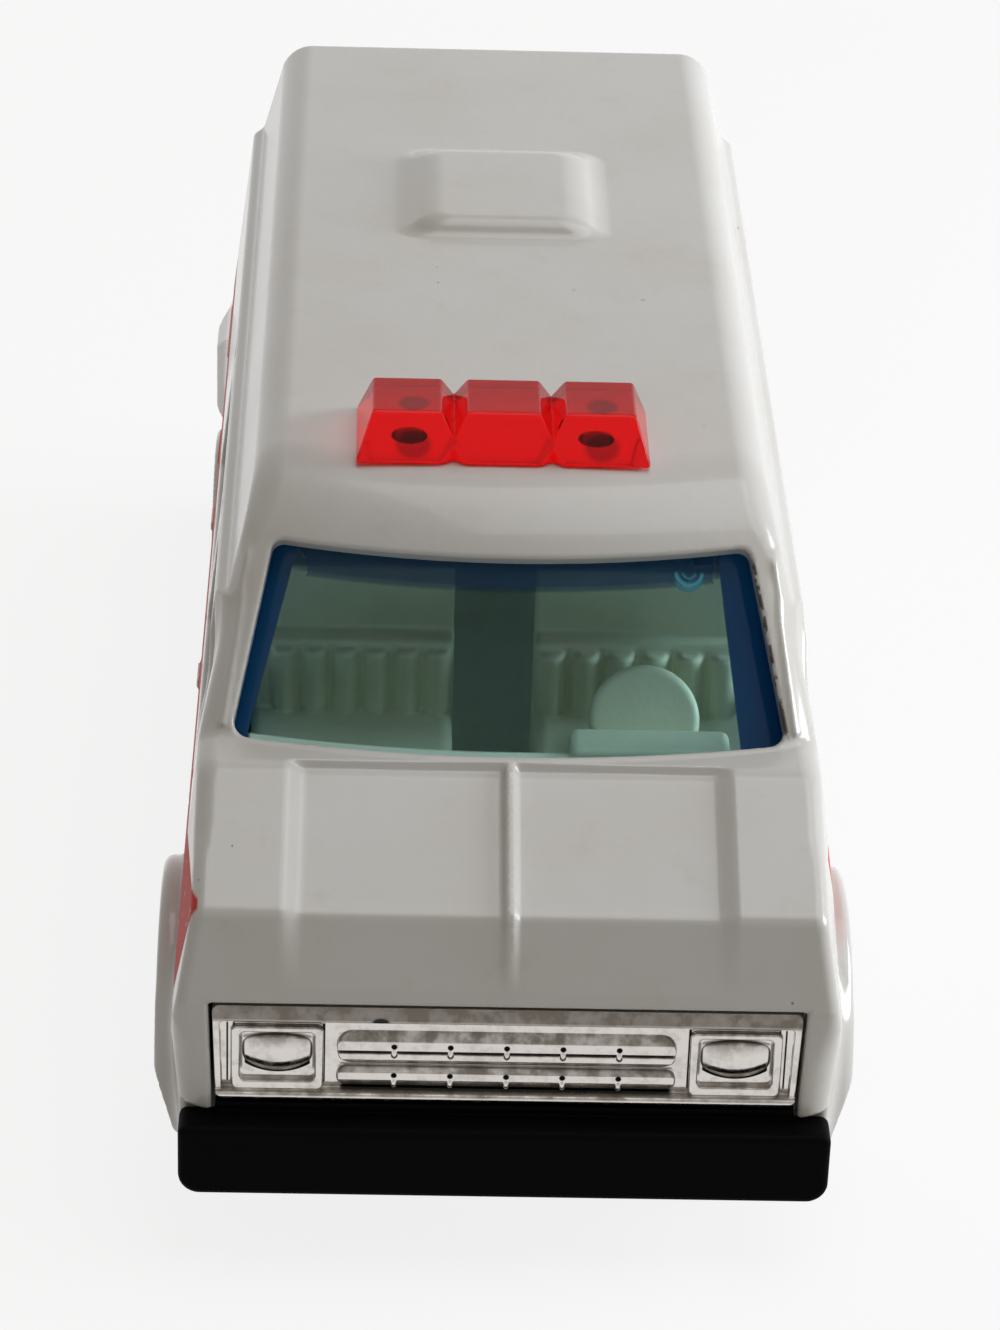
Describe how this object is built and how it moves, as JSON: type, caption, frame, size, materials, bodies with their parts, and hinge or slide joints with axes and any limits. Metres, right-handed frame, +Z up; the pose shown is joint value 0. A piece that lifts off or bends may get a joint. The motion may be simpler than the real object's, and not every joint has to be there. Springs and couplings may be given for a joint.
{
  "type": "die-cast toy van",
  "caption": "Die-cast toy ambulance van with a raised roof, red light bar, tinted windows, plated grille, opening rear doors, sprung axles and free-rolling wheels.",
  "frame": {"origin": "on the ground under the middle of the van", "axes": "+Z up, the nose towards -Y and the rear doors towards +Y, the van's left side towards +X"},
  "size_m": [0.0304, 0.0724, 0.0306],
  "materials": {
    "white_paint": "gloss enamel on zinc casting",
    "tinted_glazing": "clear blue-green moulding",
    "red_lens": "clear red moulding",
    "plated_plastic": "vacuum plated",
    "cream_plastic": "moulded",
    "black_plastic": "satin moulded",
    "steel": "drawn wire and strip",
    "tyre": "moulded"
  },
  "bodies": {
    "van": {"body_shell": "white_paint", "glazing": "tinted_glazing", "light_bar": "red_lens", "grille_insert": "plated_plastic", "interior_tub": "cream_plastic", "baseplate": "black_plastic", "rivets": "steel", "front_spring": "steel", "rear_spring": "steel"},
    "front_axle": {"front_axle": "steel"},
    "rear_axle": {"rear_axle": "steel"},
    "wheel_front_left": {"hub_front_left": "plated_plastic", "tyre_front_left": "tyre"},
    "wheel_front_right": {"hub_front_right": "plated_plastic", "tyre_front_right": "tyre"},
    "wheel_rear_left": {"hub_rear_left": "plated_plastic", "tyre_rear_left": "tyre"},
    "wheel_rear_right": {"hub_rear_right": "plated_plastic", "tyre_rear_right": "tyre"},
    "door_left": {"rear_door_left": "white_paint", "rear_door_glass_left": "tinted_glazing"},
    "door_right": {"rear_door_right": "white_paint", "rear_door_glass_right": "tinted_glazing"}
  },
  "joints": [
    {"name": "front_suspension", "type": "slide", "parent": "van", "child": "front_axle", "axis": [0, 0, 1], "range_m": [0, 0.0006], "stiffness_N_per_m": 600, "springref_m": -0.0008, "deforming": ["front_spring"]},
    {"name": "rear_suspension", "type": "slide", "parent": "van", "child": "rear_axle", "axis": [0, 0, 1], "range_m": [0, 0.0006], "stiffness_N_per_m": 600, "springref_m": -0.0008, "deforming": ["rear_spring"]},
    {"name": "front_left_spin", "type": "hinge", "parent": "front_axle", "child": "wheel_front_left", "pos_m": [0, -0.0252, 0.0053], "axis": [1, 0, 0], "continuous": true},
    {"name": "front_right_spin", "type": "hinge", "parent": "front_axle", "child": "wheel_front_right", "pos_m": [0, -0.0252, 0.0053], "axis": [1, 0, 0], "continuous": true},
    {"name": "rear_left_spin", "type": "hinge", "parent": "rear_axle", "child": "wheel_rear_left", "pos_m": [0, 0.0193, 0.0053], "axis": [1, 0, 0], "continuous": true},
    {"name": "rear_right_spin", "type": "hinge", "parent": "rear_axle", "child": "wheel_rear_right", "pos_m": [0, 0.0193, 0.0053], "axis": [1, 0, 0], "continuous": true},
    {"name": "left_door_swing", "type": "hinge", "parent": "van", "child": "door_left", "pos_m": [0.01025, 0.0346, 0.0167], "axis": [0, 0, -1], "range_deg": [0, 95]},
    {"name": "right_door_swing", "type": "hinge", "parent": "van", "child": "door_right", "pos_m": [-0.01025, 0.0346, 0.0167], "axis": [0, 0, 1], "range_deg": [0, 95]}
  ]
}
